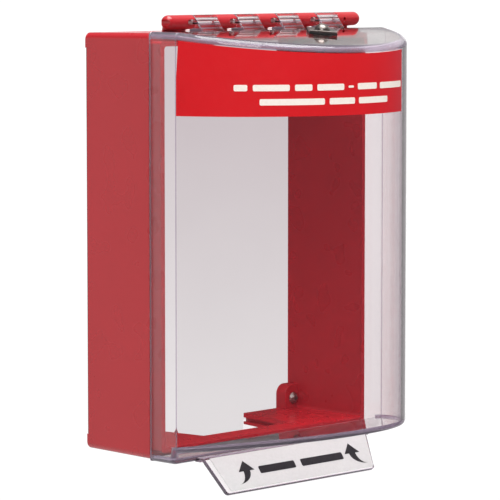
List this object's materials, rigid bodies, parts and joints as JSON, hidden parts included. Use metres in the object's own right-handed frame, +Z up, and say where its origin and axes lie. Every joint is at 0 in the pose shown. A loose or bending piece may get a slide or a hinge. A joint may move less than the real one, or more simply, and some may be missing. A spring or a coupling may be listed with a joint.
{
  "type": "manual call point cover",
  "caption": "Wall-mounted deep frame with a clear bowed lift cover on a top hinge, made to shield a manual call point from knocks, weather and false alarms.",
  "frame": {"origin": "middle of the four wall screws on the wall face", "axes": "+X to the viewer's right, +Y into the wall, +Z up; the cover faces -Y"},
  "size_m": [0.175, 0.1427, 0.2687],
  "materials": {
    "red_plastic": "moulded polycarbonate, glossy with a faint moulding ripple",
    "clear_plastic": "clear moulded polycarbonate, 2.5 mm thick",
    "red_vinyl": "printed glossy vinyl label",
    "grey_vinyl": "printed satin vinyl label",
    "steel": "stainless steel",
    "foam": "closed-cell foam strip",
    "black_rubber": "moulded rubber pad"
  },
  "bodies": {
    "frame_body": {"frame": "red_plastic", "wall_gasket": "foam", "hinge_pin": "steel", "wall_screw_top_left": "steel", "wall_screw_top_right": "steel", "wall_screw_bottom_left": "steel", "wall_screw_bottom_right": "steel"},
    "cover_body": {"cover": "clear_plastic", "header_label": "red_vinyl", "tab_label": "grey_vinyl", "top_screw": "steel", "square_washer": "steel", "sealing_pad": "black_rubber", "inner_washer": "steel", "lock_washer": "steel", "hex_nut": "steel"}
  },
  "joints": [
    {"name": "cover_hinge", "type": "hinge", "parent": "frame_body", "child": "cover_body", "pos_m": [0, -0.0571, 0.1255], "axis": [-1, 0, 0], "range_deg": [0, 120]}
  ]
}
